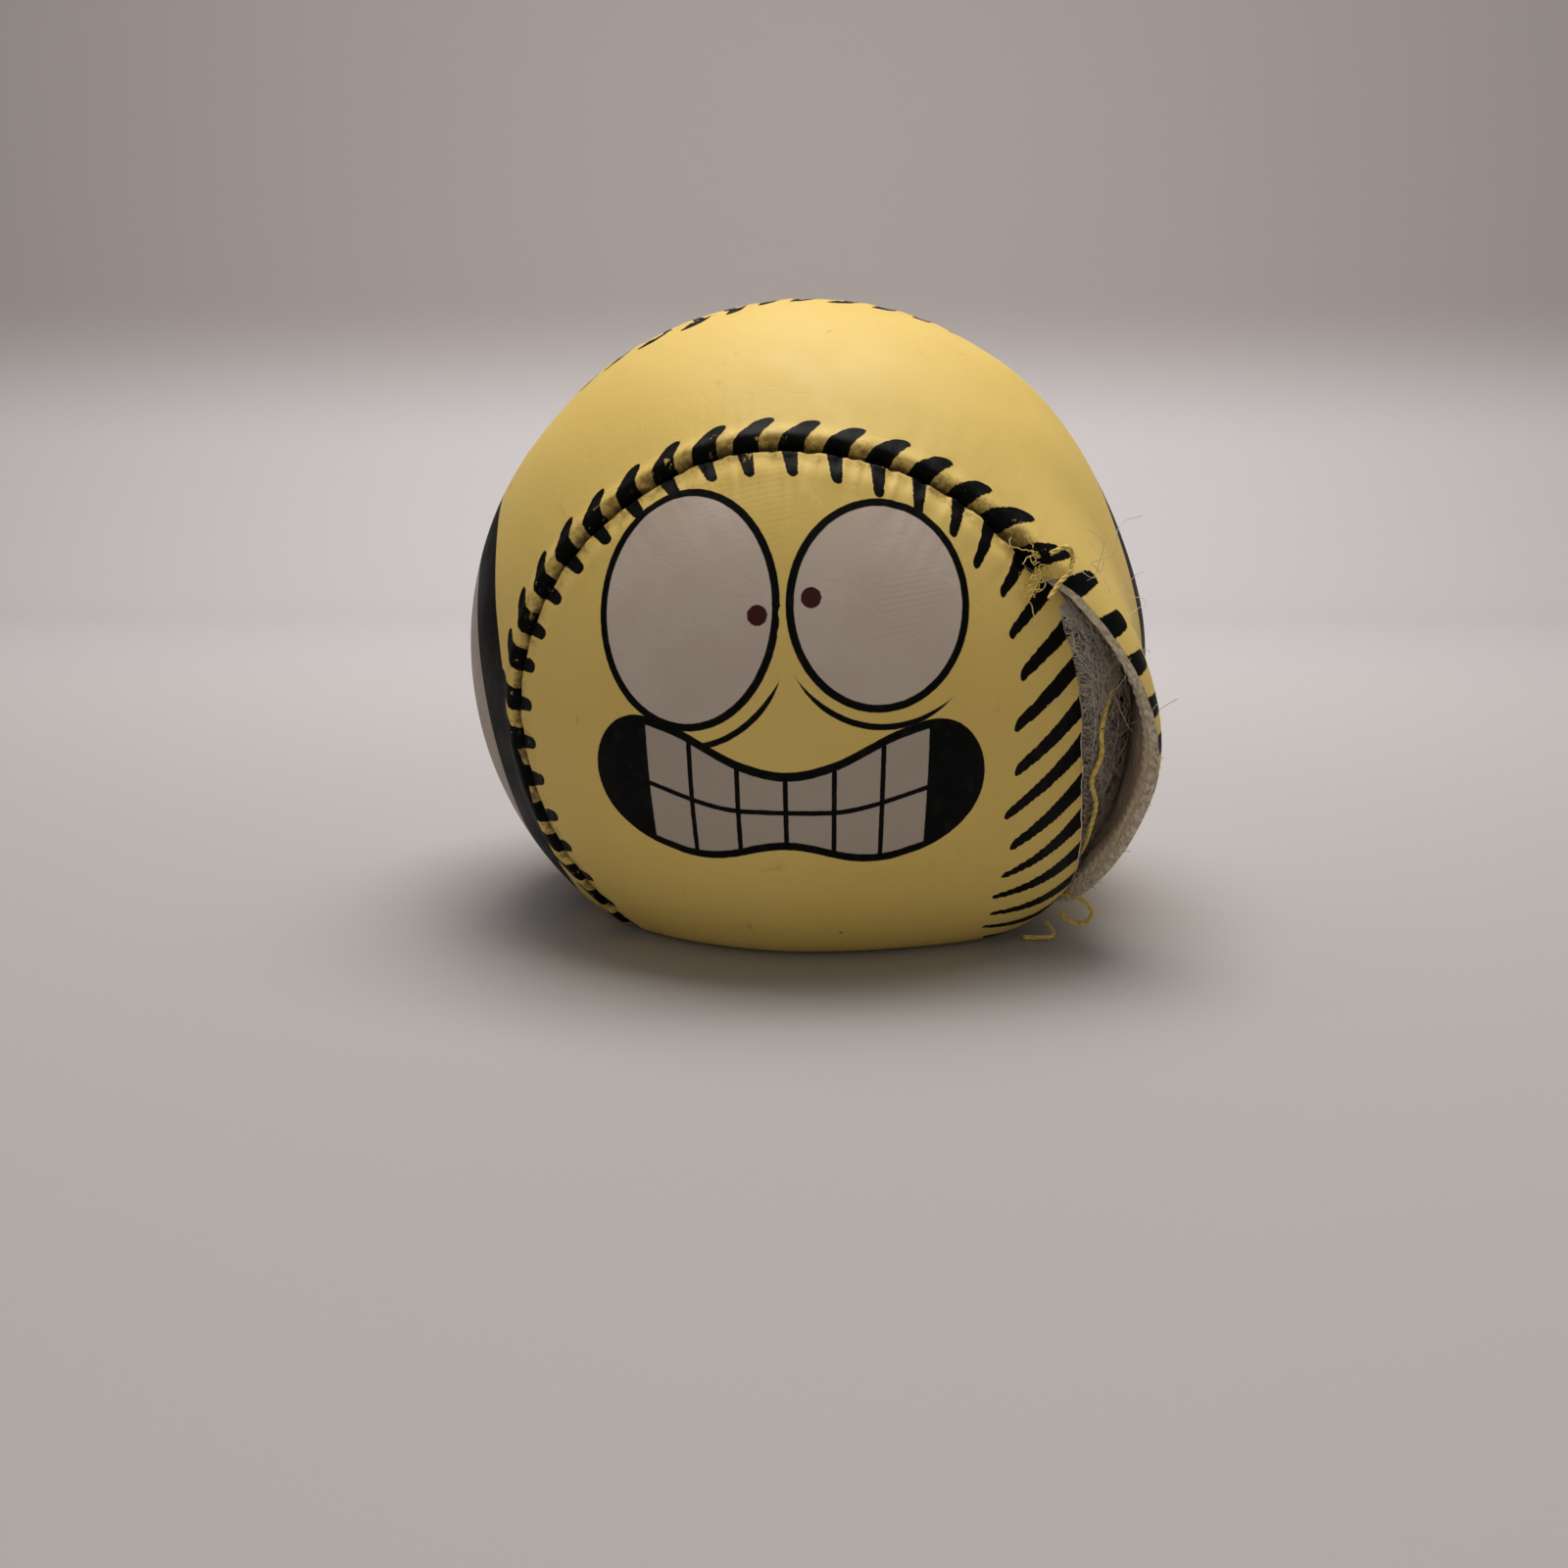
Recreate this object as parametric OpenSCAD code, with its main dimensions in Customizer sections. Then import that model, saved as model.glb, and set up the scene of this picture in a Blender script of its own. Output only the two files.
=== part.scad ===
// Soft sewn stress ball with one seam torn open.
// Two figure-eight panels of coated cloth meet along a single wavy seam, and fibre fills them.
// The origin is the centre of the flattened patch that the ball rests on. +Z is up, and -Y is the front.

/* [Ball] */
// Outside diameter of the full ball
ball_d = 75; // [60:1:90]
// How far the soft ball sinks where it rests
rest_sag = 9; // [4:0.5:12]
// Angle from a panel's middle to the seam at its waist
waist_angle = 24; // [20:0.5:30]
// Lean of the ball about X, Y and then Z
ball_lean = [31, -13, -6]; // [-180:1:180]

/* [Cover] */
// Thickness of the smooth outer film
film_t = 0.4; // [0.3:0.05:0.8]
// Thickness of the woven backing under the film
backing_t = 0.6; // [0.4:0.05:1]
// Gap between the two panels along the seam
seam_gap = 0.5; // [0.3:0.05:1]

/* [Tear] */
// Angle that the torn lobe has sprung outward
lift_angle = 22; // [0:1:30]
// Angular radius of the loose flap beside the tear
flap_radius = 37; // [25:1:40]
// Width of the cut between the flap and the rest of its panel
flap_cut = 0.3; // [0.1:0.05:0.5]

/* [Stuffing] */
// Space between the cover and the fibre core, taken up by the turned seam edges
edge_room = 1.4; // [1:0.1:2]
// Width of the loose batting that shows in the tear
batting_w = 8; // [5:0.5:9]

/* [Thread] */
// Diameter of the sewing thread
thread_d = 0.5; // [0.3:0.05:0.8]
// Number of stitches around the whole seam
stitch_count = 84; // [60:1:100]
// Depth of the stitches under the surface
stitch_depth = 1.7; // [1.2:0.1:2]

/* [Hidden] */

ball_r = ball_d / 2;
centre_h = ball_r - rest_sag;
cover_t = film_t + backing_t;
core_r = ball_r - cover_t - edge_room;

// Where the cover has been drawn forward over the filling: the middle, how far, and where that fades out
drawn_left = [[-0.66, 0.12, 0.74], 11.5, 0.74, 0.25];
drawn_right = [[0.45, 0.10, 0.89], 7, 0.73, 0.26];

// The seam's wave, and its parameter where the tear ends
seam_swing = 90 - waist_angle;
tear_from = 57;
tear_to = 117;

// Ribs along a panel, steps across each rib, and the parameter of the last rib in a lobe
rib_count = 48;
step_count = 14;
lobe_end = 177;

// The lobe has sprung about an upright line at this turn from +X.
// Along the lobe, the spring starts, is full between two ribs, and ends near the tip.
spring_turn = -11;
spring_at = [(ball_r - cover_t) * cos(spring_turn), (ball_r - cover_t) * sin(spring_turn), 0];
spring_start = -52;
spring_full = -97;
spring_low = -118;
spring_end = -142;
spring_edge = 0.4;

// Turn from +X to the middle of the loose flap
flap_turn = -20;

// Loose threads, each a list of points from its sewn end to its free end
frayed_route = [
    [28.0, -24.6, 34.5], [28.9, -25.0, 32.0], [30.0, -23.6, 29.2], [29.0, -25.2, 26.4], [28.2, -26.2, 23.6],
    [28.4, -25.6, 20.8], [27.6, -25.4, 18.2], [28.4, -23.8, 15.6], [28.2, -22.4, 12.8], [28.0, -20.0, 10.2],
    [27.2, -18.0, 7.8], [26.8, -16.4, 5.6]
];
tuft_route = [
    [22.0, -30.6, 40.4], [23.4, -30.4, 41.0], [24.2, -29.8, 40.2], [23.8, -30.6, 38.8], [22.8, -31.4, 37.8],
    [21.8, -31.9, 36.4]
];
loop_route = [
    [26.4, -16.0, 4.2], [27.8, -16.8, 4.3], [29.2, -17.8, 3.6], [29.6, -18.3, 2.6], [28.6, -18.3, 1.7],
    [27.3, -17.7, 1.8], [26.4, -16.9, 2.6]
];
tail_route = [
    [25.2, -16.4, 1.2], [25.6, -17.6, 0.7], [25.4, -18.8, 0.4], [24.0, -19.2, 0.4], [22.4, -19.0, 0.4]
];
thread_sides = 8;

film_colour = "#dcc063";
backing_colour = "#9c8a74";
fibre_colour = "#b8b0a4";
thread_colour = "#d8b63c";

function smooth(x) = let (c = min(max(x, 0), 1)) c * c * (3 - 2 * c);

// A rotation in the same order as rotate([x, y, z])
function turn_x(p, a) = [p.x, p.y * cos(a) - p.z * sin(a), p.y * sin(a) + p.z * cos(a)];
function turn_y(p, a) = [p.x * cos(a) + p.z * sin(a), p.y, p.z * cos(a) - p.x * sin(a)];
function turn_z(p, a) = [p.x * cos(a) - p.y * sin(a), p.x * sin(a) + p.y * cos(a), p.z];
function drawn(p, pull) = turn_x(p, pull[1] * smooth((p * pull[0] / norm(p) - pull[2]) / pull[3]));
function lean(p) =
    let (q = turn_z(turn_y(turn_x(p, ball_lean.x), ball_lean.y), ball_lean.z))
    drawn(drawn(q, drawn_left), drawn_right);

// The seam as a unit vector, for a parameter that runs from 0 to 720 degrees
function seam(t) =
    let (polar = 90 - seam_swing * cos(t), turn = t / 2 + (waist_angle * sin(2 * t)))
    [sin(polar) * cos(turn), sin(polar) * sin(turn), cos(polar)];

// A point of a panel: t runs along the panel from -180 to 180, and s runs across it from -1 to 1
function panel_point(t, s) =
    let (
        p = seam(t),
        inset = seam_gap / 2 / ball_r * 180 / PI,
        across = max(asin(p.x) - inset, 0) * s,
        along = atan2(p.y, p.z) * (1 - inset / (180 - waist_angle))
    )
    [sin(across), cos(across) * sin(along), cos(across) * cos(along)];

function face_place(p) = lean([p.x, -p.y, -p.z]);
function crown_place(p) = lean([-p.y, -p.x, p.z]);

// The front of one crown lobe springs outward, most along its torn edge
function spring_share(t, s) =
    smooth((spring_start - t) / (spring_start - spring_full))
    * smooth((t - spring_end) / (spring_low - spring_end))
    * smooth((s - spring_edge) / (1 - spring_edge));
function sprung(p, t, s) = spring_at + turn_z(p - spring_at, lift_angle * spring_share(t, s));

// The resting patch stays flat: no point goes lower than its own layer of the cover
function rested(p, depth) = [p.x, p.y, max(p.z + centre_h, depth)];

function layer(crown, depth) = [
    for (i = [0:rib_count]) for (j = [0:step_count])
        let (
            t = lobe_end * (2 * i / rib_count - 1),
            s = 2 * j / step_count - 1,
            q = panel_point(t, s),
            full = (crown ? crown_place(q) : face_place(q)) * (ball_r - depth)
        )
        rested(crown ? sprung(full, t, s) : full, depth)
];

// A closed shell between two layers of a panel
module shell(crown, outer_depth, inner_depth) {
    row = step_count + 1;
    size = row * (rib_count + 1);
    outer = [
        for (i = [0:rib_count - 1]) for (j = [0:step_count - 1])
            [i * row + j, i * row + j + 1, (i + 1) * row + j + 1, (i + 1) * row + j]
    ];
    rim = concat(
        [for (j = [0:step_count - 1]) j],
        [for (i = [0:rib_count - 1]) i * row + step_count],
        [for (j = [step_count:-1:1]) rib_count * row + j],
        [for (i = [rib_count:-1:1]) i * row]
    );
    quads = concat(
        outer,
        [for (q = outer) [q[0] + size, q[3] + size, q[2] + size, q[1] + size]],
        [
            for (k = [0:len(rim) - 1])
                let (a = rim[k], b = rim[(k + 1) % len(rim)])
                [a, a + size, b + size, b]
        ]
    );
    faces = [for (q = quads) each [[q[0], q[1], q[2]], [q[0], q[2], q[3]]]];
    polyhedron(
        concat(layer(crown, outer_depth), layer(crown, inner_depth)),
        [for (f = faces) crown ? f : [f[2], f[1], f[0]]],
        convexity = 8
    );
}

// Everything further out than the flap's fold, less the width of the cut
module flap_side(back_off) {
    reach = ball_d * 2;
    translate([0, 0, centre_h])
    rotate([0, 0, flap_turn])
    translate([ball_r * cos(flap_radius) + back_off, -reach / 2, -reach / 2])
    cube(reach);
}

module face_panel_film() {
    color(film_colour) shell(false, 0, film_t);
}

module face_panel_backing() {
    color(backing_colour) shell(false, film_t, cover_t);
}

module crown_panel_film() {
    color(film_colour)
    difference() {
        shell(true, 0, film_t);
        flap_side(-flap_cut / 2);
    }
}

module crown_panel_backing() {
    color(backing_colour)
    difference() {
        shell(true, film_t, cover_t);
        flap_side(-flap_cut / 2);
    }
}

module torn_flap_film() {
    color(film_colour)
    intersection() {
        shell(true, 0, film_t);
        flap_side(flap_cut / 2);
    }
}

module torn_flap_backing() {
    color(backing_colour)
    intersection() {
        shell(true, film_t, cover_t);
        flap_side(flap_cut / 2);
    }
}

// The packed fibre is a ball with the resting patch cut flat
module fibre_core() {
    floor_z = cover_t + edge_room;
    color(fibre_colour)
    intersection() {
        translate([0, 0, centre_h]) sphere(core_r, $fn = 96);
        translate([-ball_r, -ball_r, floor_z]) cube([ball_d, ball_d, ball_d]);
    }
}

// Loose batting swells out of the tear in a row of soft lobes, widest in the middle
module loose_batting() {
    lobes = 7;
    aside = [1.6, 1.4, 0.8];
    color(fibre_colour)
    difference() {
        for (i = [0:lobes - 1]) {
            share = (i + 0.5) / lobes;
            width = batting_w * (0.5 + 0.5 * sin(180 * share));
            at = face_place(seam(tear_from + (tear_to - tear_from) * share));
            translate(at * (core_r - 0.3 * width) + aside + [0, 0, centre_h])
            sphere(d = width, $fn = 28);
        }
        translate([0, 0, centre_h]) sphere(core_r + 0.05, $fn = 96);
    }
}

// One stitch of each thread lies on either side of the seam
module stitches(side) {
    pitch = 720 / stitch_count;
    lowest = cover_t + 4 * thread_d;
    for (i = [0:stitch_count - 1]) {
        t = i * pitch;
        torn = t > tear_from - pitch && t < tear_to;
        a = stitch_end(t + 0.12 * pitch, side);
        b = stitch_end(t + 0.88 * pitch, side);
        if (!torn && min(a.z, b.z) > lowest)
            bar(a, b);
    }
}

function stitch_end(t, side) =
    let (
        along = seam(t + 1) - seam(t - 1),
        sideways = cross(along, seam(t)),
        off = sideways / norm(sideways) * side * 0.75 * thread_d
    )
    face_place(seam(t) * (ball_r - stitch_depth) + off) + [0, 0, centre_h];

module bar(a, b) {
    d = b - a;
    translate(a)
    rotate([0, acos(d.z / norm(d)), atan2(d.y, d.x)])
    cylinder(h = norm(d), d = thread_d, $fn = 24);
}

module needle_thread() {
    color(thread_colour) stitches(1);
}

module bobbin_thread() {
    color(thread_colour) stitches(-1);
}

// A smooth route through hand-placed points
function spline_point(a, b, c, d, u) =
    0.5 * (2 * b + (c - a) * u + (2 * a - 5 * b + 4 * c - d) * u * u + (3 * b - a - 3 * c + d) * u * u * u);
function smooth_route(route, steps) =
    let (last = len(route) - 1)
    concat(
        [
            for (i = [0:last - 1]) for (k = [0:steps - 1])
                spline_point(route[max(i - 1, 0)], route[i], route[i + 1], route[min(i + 2, last)], k / steps)
        ],
        [route[last]]
    );

// A round thread swept along a route
module thread(route, steps) {
    points = smooth_route(route, steps);
    last = len(points) - 1;
    rings = [
        for (i = [0:last])
            let (
                d = points[min(i + 1, last)] - points[max(i - 1, 0)],
                along = d / norm(d),
                side = cross(along, [0.3, 0.2, 1]),
                u = side / norm(side),
                v = cross(along, u)
            )
            for (k = [0:thread_sides - 1])
                let (a = 360 * k / thread_sides)
                points[i] + (u * cos(a) + v * sin(a)) * thread_d / 2
    ];
    walls = [
        for (i = [0:last - 1]) for (k = [0:thread_sides - 1])
            let (n = (k + 1) % thread_sides, a = i * thread_sides, b = a + thread_sides)
            each [[a + k, b + k, b + n], [a + k, b + n, a + n]]
    ];
    ends = [
        [for (k = [0:thread_sides - 1]) k],
        [for (k = [thread_sides - 1:-1:0]) last * thread_sides + k]
    ];
    color(thread_colour) polyhedron(rings, concat(walls, ends), convexity = 6);
}

module frayed_seam_thread() {
    thread(frayed_route, 3);
}

module thread_tuft() {
    thread(tuft_route, 2);
}

module thread_loop() {
    thread(loop_route, 2);
}

module thread_tail() {
    thread(tail_route, 2);
}

face_panel_film();
face_panel_backing();
crown_panel_film();
crown_panel_backing();
torn_flap_film();
torn_flap_backing();
fibre_core();
loose_batting();
needle_thread();
bobbin_thread();
frayed_seam_thread();
thread_tuft();
thread_loop();
thread_tail();
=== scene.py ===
import math

import bpy
import numpy as np
from mathutils import Euler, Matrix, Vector


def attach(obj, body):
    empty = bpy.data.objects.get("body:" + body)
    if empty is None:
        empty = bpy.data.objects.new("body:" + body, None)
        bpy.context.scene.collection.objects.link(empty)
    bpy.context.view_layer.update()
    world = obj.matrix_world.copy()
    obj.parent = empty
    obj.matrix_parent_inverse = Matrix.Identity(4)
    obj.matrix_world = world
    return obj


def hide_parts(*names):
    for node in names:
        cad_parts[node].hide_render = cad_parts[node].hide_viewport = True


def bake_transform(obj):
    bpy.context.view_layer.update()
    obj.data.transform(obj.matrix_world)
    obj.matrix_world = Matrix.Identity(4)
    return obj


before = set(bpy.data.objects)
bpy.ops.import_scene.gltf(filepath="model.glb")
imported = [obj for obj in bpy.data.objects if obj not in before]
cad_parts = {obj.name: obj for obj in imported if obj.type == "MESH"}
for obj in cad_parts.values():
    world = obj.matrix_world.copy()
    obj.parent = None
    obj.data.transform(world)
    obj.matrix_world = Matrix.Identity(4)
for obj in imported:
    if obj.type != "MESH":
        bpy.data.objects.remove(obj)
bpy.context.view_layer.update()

# ---------------------------------------------------------------- driving sizes
# In metres, as in the CAD model.
MM = 0.001
BALL_R = 37.5 * MM
CENTRE = np.array([0.0, 0.0, 28.5 * MM])
WAIST = math.radians(24)
BALL_LEAN = Euler([math.radians(a) for a in (31, -13, -6)], "XYZ")
COVER_T = 1.0 * MM
CORE_R = 35.1 * MM
THREAD_D = 0.5 * MM

# Where the cover is drawn forward: the middle, the angle, and where that fades out
DRAWN = (((-0.66, 0.12, 0.74), 11.5, 0.74, 0.25), ((0.45, 0.10, 0.89), 7.0, 0.73, 0.26))

# The sprung lobe: the upright line that it turned about, how far, and the ribs between which it sprang
SPRING_TURN = math.radians(-11)
SPRING_AT = (BALL_R - COVER_T) * np.array([math.cos(SPRING_TURN), math.sin(SPRING_TURN), 0.0])
LIFT = math.radians(22)
SPRING_START, SPRING_FULL, SPRING_LOW, SPRING_END = (math.radians(a) for a in (-52, -97, -118, -142))
SPRING_EDGE = 0.4

# The loose flap is the part of that lobe further out than its fold
FLAP_TURN = math.radians(-20)
FLAP_DIR = np.array([math.cos(FLAP_TURN), math.sin(FLAP_TURN), 0.0])
FOLD_REACH = BALL_R * math.cos(math.radians(37))

# Along the seam, in millimetres from its start: where it is torn, and the pitch of the printed stitches
TEAR_FROM, TEAR_TO = 27.0, 70.0
STITCHES = 104

# The count of the hidden lockstitch, as in the CAD model, and the pitch of the needle ridges on the torn edge
LOCKSTITCHES = 84
NEEDLE_RIDGE = 1.15

rng = np.random.default_rng(7)


# ---------------------------------------------------------------- camera
def make_camera():
    """A phone held low in front of the ball, tipped down a little."""
    camera = bpy.data.objects.new("camera", bpy.data.cameras.new("camera"))
    camera.data.lens = 34.25
    camera.data.sensor_width = 36
    camera.data.clip_start = 0.01
    camera.location = (0, -0.1689, 0.04625)
    camera.rotation_euler = (math.radians(90 - 11.2), 0, math.radians(0.98))
    bpy.context.scene.collection.objects.link(camera)
    bpy.context.scene.camera = camera


# ---------------------------------------------------------------- the ball's geometry
def smooth(x):
    x = np.clip(x, 0, 1)
    return x * x * (3 - 2 * x)


def bump(x, middle, width):
    return np.exp(-(((x - middle) / width) ** 2))


def unit(v):
    return v / np.linalg.norm(v, axis=-1, keepdims=True)


LEAN = np.array(BALL_LEAN.to_matrix())


def seam(t):
    """The wavy seam as unit vectors, before the ball leans."""
    polar = math.pi / 2 - (math.pi / 2 - WAIST) * np.cos(t)
    turn = t / 2 + WAIST * np.sin(2 * t)
    return np.stack([np.sin(polar) * np.cos(turn), np.sin(polar) * np.sin(turn), np.cos(polar)], -1)


def panel_point(t, s):
    """A panel as unit vectors: t runs along it and s across it, from -1 to 1."""
    p = seam(t)
    across = np.arcsin(p[..., 0]) * s
    along = np.arctan2(p[..., 1], p[..., 2])
    return np.stack([np.sin(across), np.cos(across) * np.sin(along), np.cos(across) * np.cos(along)], -1)


def drawn(p):
    """Unit vectors, where the cover has been drawn forward over the filling at the top."""
    for middle, angle, low, fade in DRAWN:
        turn = math.radians(angle) * smooth((p @ np.array(middle) - low) / fade)
        y = p[..., 1] * np.cos(turn) - p[..., 2] * np.sin(turn)
        z = p[..., 1] * np.sin(turn) + p[..., 2] * np.cos(turn)
        p = np.stack([p[..., 0], y, z], -1)
    return p


def face_place(p):
    return drawn((p * [1, -1, -1]) @ LEAN.T)


def crown_place(p):
    return drawn(np.stack([-p[..., 1], -p[..., 0], p[..., 2]], -1) @ LEAN.T)


SEAM_T = np.linspace(0, 4 * math.pi, 3201)[:-1]
SEAM_P = face_place(seam(SEAM_T))
SEAM_STEP = np.linalg.norm(np.roll(SEAM_P, -1, 0) - SEAM_P, axis=1) * BALL_R / MM
SEAM_ARC = np.concatenate([[0], np.cumsum(SEAM_STEP)[:-1]])
SEAM_LENGTH = float(SEAM_STEP.sum())


def seam_place(points):
    """For unit vectors: the place along the seam and the distance from it, both in millimetres."""
    arc, away = np.empty(len(points)), np.empty(len(points))
    for i in range(0, len(points), 4000):
        dots = points[i:i + 4000] @ SEAM_P.T
        best = dots.argmax(1)
        arc[i:i + 4000] = SEAM_ARC[best]
        away[i:i + 4000] = np.arccos(np.clip(dots.max(1), -1, 1)) * BALL_R / MM
    return arc, away


# Across the tear towards the crown panel, and the low corner of the face panel beside the tear
CROWNWARD = np.array([0.68, 0.62, 0.39])
LOW_CORNER = unit(np.array([0.60, -0.52, -0.61]))


def torn_share(arc):
    """1 where the seam is torn open and 0 where it is sewn."""
    return smooth((arc - TEAR_FROM + 2) / 4) * smooth((TEAR_TO + 2 - arc) / 4)


def lattice(cell):
    """A repeatable value from -1 to 1 for each whole-number cell."""
    cell = cell.astype(np.int64) & 0xFFFFFFFF
    mixed = (cell[:, 0] * 73856093) ^ (cell[:, 1] * 19349663) ^ (cell[:, 2] * 83492791)
    mixed = ((mixed & 0xFFFFFFFF) * 2654435761) & 0xFFFFFFFF
    mixed = ((mixed ^ (mixed >> 15)) * 2246822519) & 0xFFFFFFFF
    return (mixed ^ (mixed >> 13)) / 2147483648.0 - 1.0


def fbm(points, scale, octaves=3):
    """Smooth noise from about -1 to 1 at points in metres, with features of this scale in metres."""
    total, reach = np.zeros(len(points)), 0.0
    for octave in range(octaves):
        at = points / scale * 2.0 ** octave + 17.3 * octave
        low = np.floor(at)
        u = smooth(at - low)
        value = np.zeros(len(points))
        for corner in range(8):
            step = np.array([corner & 1, corner >> 1 & 1, corner >> 2])
            weight = np.prod(np.where(step == 1, u, 1 - u), axis=1)
            value += weight * lattice(low + step)
        total += value * 0.5 ** octave
        reach += 0.5 ** octave
    return total / reach * 1.4


def spring(p, t, s):
    """The front of one crown lobe springs outward, most along its torn edge."""
    share = smooth((SPRING_START - t) / (SPRING_START - SPRING_FULL))
    share = share * smooth((t - SPRING_END) / (SPRING_LOW - SPRING_END))
    share = share * smooth((s - SPRING_EDGE) / (1 - SPRING_EDGE))
    turn = LIFT * share
    q = p - SPRING_AT
    x = q[:, 0] * np.cos(turn) - q[:, 1] * np.sin(turn)
    y = q[:, 0] * np.sin(turn) + q[:, 1] * np.cos(turn)
    return np.stack([x, y, q[:, 2]], -1) + SPRING_AT


def rest(p, depth=0.0):
    """Points about the ball's centre are moved to the table, where the underside is pressed flat."""
    p = p + CENTRE
    edge = 0.45 * MM
    low = p[:, 2] - depth
    p[:, 2] = depth + 0.5 * (low + np.sqrt(low * low + 4 * edge * edge))
    return p


def shoulder(p):
    """The cover has gone slack above the tear, so it is a little sunken there."""
    near = np.exp(-((np.arccos(np.clip(unit(p) @ unit(np.array([1.0, -0.1, 0.45])), -1, 1)) / 0.42) ** 2))
    return p * (1 - 0.035 * near)[:, None]


# ---------------------------------------------------------------- mesh helpers
def new_mesh(name, points, faces, material, smooth_faces=True):
    mesh = bpy.data.meshes.new(name)
    mesh.from_pydata([tuple(p) for p in points], [], [tuple(f) for f in faces])
    mesh.validate()
    mesh.update()
    if smooth_faces:
        mesh.shade_smooth()
    mesh.materials.append(material)
    piece = bpy.data.objects.new(name, mesh)
    bpy.context.scene.collection.objects.link(piece)
    return piece


def add_attribute(piece, name, values):
    attribute = piece.data.attributes.new(name, "FLOAT", "POINT")
    attribute.data.foreach_set("value", np.asarray(values, np.float32))


def grid_faces(rows, columns, flip):
    i, j = np.meshgrid(np.arange(rows - 1), np.arange(columns - 1), indexing="ij")
    a = (i * columns + j).ravel()
    quads = np.stack([a, a + 1, a + columns + 1, a + columns], -1)
    return quads[:, ::-1] if flip else quads


def keep_part(points, faces, wanted, values):
    """The faces that are wanted, with only their own points and the values at them."""
    faces = faces[wanted]
    used = np.unique(faces)
    renumber = np.zeros(len(points), int)
    renumber[used] = np.arange(len(used))
    return points[used], renumber[faces], {k: v[used] for k, v in values.items()}


def panel_piece(name, points, faces, wanted, values, material):
    points, faces, values = keep_part(points, faces, wanted, values)
    piece = new_mesh(name, points, faces, material)
    for key, value in values.items():
        add_attribute(piece, key, value)
    return piece


# ---------------------------------------------------------------- printed art
# Each field is smooth over the panel, in millimetres, and the film's material draws its lines from them.
PITCH = SEAM_LENGTH / STITCHES

# Stitches on the face panel, by their place along the seam: slant, length, half-width at the seam and at the tip
MARK_AT = (0, 20, 30, 38, 46, 54, 60, 66, 72, 84, 100, 120, 132, 146, 160, 175)
MARK_SLANT = (0.5, 0.5, 0.5, 0.05, -0.35, -0.46, -0.38, -0.28,
              -0.24, -0.25, -0.2, -0.25, -0.2, -0.15, -0.1, -0.15)
MARK_LENGTH = (3.0, 6.0, 10.6, 10.4, 10.2, 9.6, 8.4, 6.6, 5.4, 4.2, 3.1, 2.7, 2.8, 3.0, 2.9, 2.9)
MARK_WIDE = (0.9, 1.05, 1.12, 1.14, 1.16, 1.12, 1.04, 0.98, 0.9, 0.8, 0.76, 0.76, 0.78, 0.8, 0.8, 0.76)
MARK_TIP = (0.4, 0.42, 0.42, 0.46, 0.5, 0.54, 0.54, 0.5, 0.45, 0.44, 0.5, 0.58, 0.6, 0.62, 0.62, 0.58)


def stitch_fields(arc, away, crown):
    """The printed stitches: count along the seam, millimetres to a count, height, length and half-widths."""
    if crown:
        loose = torn_share(arc)
        return {
            "mark_u": (arc + (0.42 * away + 0.08 * away ** 2) * (1 - 0.8 * loose)) / PITCH,
            "mark_w": PITCH * (0.82 + 0.12 * loose), "mark_v": away, "mark_l": 3.1 + 0.5 * loose,
            "mark_wide": 1.0 + 0 * arc, "mark_tip": 0.68 + 0.1 * loose,
        }
    at = arc.copy()
    for _ in range(6):
        slant = np.interp(at, MARK_AT, MARK_SLANT)
        at = 0.5 * at + 0.5 * (arc - slant * np.minimum(away, 12.0))
    return {
        "mark_u": at / PITCH, "mark_w": PITCH / np.sqrt(1 + slant ** 2), "mark_v": away,
        "mark_l": np.interp(at, MARK_AT, MARK_LENGTH), "mark_wide": np.interp(at, MARK_AT, MARK_WIDE),
        "mark_tip": np.interp(at, MARK_AT, MARK_TIP),
    }


def ellipse(x, y, cx, cy, rx, ry):
    """Near enough the distance to an ellipse's edge."""
    k = np.hypot((x - cx) / rx, (y - cy) / ry)
    g = np.hypot((x - cx) / rx ** 2, (y - cy) / ry ** 2) + 1e-6
    return k * (k - 1) / g


def chart(p, out):
    """Unit vectors laid flat about a direction, in millimetres."""
    right = unit(np.cross(out, [0, 0, -1.0]))
    up = np.cross(out, right)
    reach = np.arccos(np.clip(p @ out, -1, 1)) * BALL_R / MM
    flat = np.stack([p @ right, p @ up], -1)
    flat = flat / (np.linalg.norm(flat, axis=1, keepdims=True) + 1e-9) * reach[:, None]
    return flat[:, 0], flat[:, 1]


def face_fields(p):
    """A plain grimacing face: two oval eyes with dot pupils, an arc under each, and a mouth of even teeth."""
    x, y = chart(p, unit(np.array([-0.059, -0.998, 0.037])))
    left, right = ellipse(x, y, -9.3, 6.0, 8.5, 10.9), ellipse(x, y, 8.5, 6.5, 8.1, 9.4)
    bags = ellipse(x, y, -9.6, 5.4, 10.4, 12.2), ellipse(x, y, 9.0, 6.0, 9.8, 10.6)
    bend = smooth((np.abs(x) - 4) / 14)
    row = y - (-12.9 + 3.0 * bend)
    half = 3.8 + 2.7 * smooth(np.abs(x) / 11)
    return {
        "eye": np.where(x < -0.4, left, right),
        "bag": np.where(x < -0.4, bags[0], bags[1]),
        "bag_wide": 0.42 * smooth((2.0 - y) / 6) * smooth((19 - np.abs(x)) / 8) - 0.12,
        "pupil": np.minimum(np.hypot(x + 2.5, y - 5.4), np.hypot(x - 2.3, y - 7.0)) - 0.95,
        "mouth": np.hypot(np.maximum(np.abs(x) - 12.4, 0), row) - half,
        "teeth": np.maximum(np.abs(row) - half + 0.65, np.abs(x) - 13.6),
        "tooth_x": x,
        "tooth_y": row,
    }


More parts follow.
